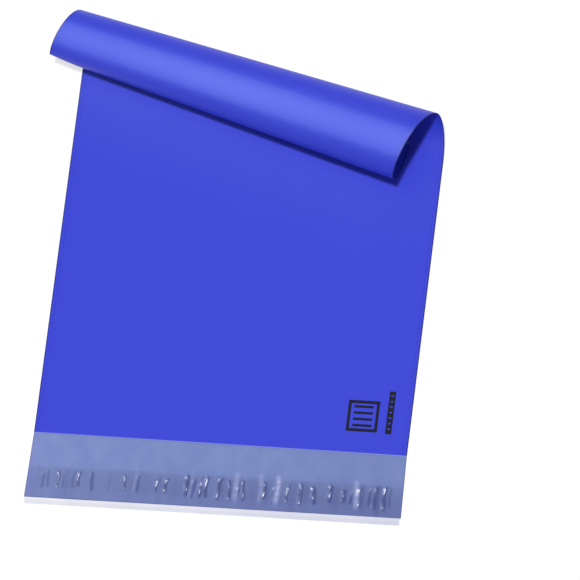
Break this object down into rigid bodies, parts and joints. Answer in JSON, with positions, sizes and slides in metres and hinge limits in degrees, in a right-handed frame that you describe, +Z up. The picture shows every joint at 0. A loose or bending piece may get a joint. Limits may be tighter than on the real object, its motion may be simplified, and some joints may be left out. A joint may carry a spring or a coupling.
{
  "type": "poly mailer bag",
  "caption": "Flat plastic mailing bag with an open mouth, a glued sealing flap under a release liner, and its closed end rolled forward.",
  "frame": {"origin": "on the underside of the back panel, in the middle of the mouth", "axes": "+X across the bag to the right, +Y from the mouth to the closed end, +Z up from the floor"},
  "size_m": [0.2722, 0.3277, 0.0345],
  "materials": {
    "blue_film": "blue polyethylene film, soft sheen, silver grey inside",
    "hot_melt": "tacky pressure sensitive glue",
    "clear_liner": "clear release film, glossy"
  },
  "bodies": {
    "root": {"mailer_film": "blue_film", "adhesive_strip": "hot_melt", "release_liner": "clear_liner"}
  },
  "joints": []
}
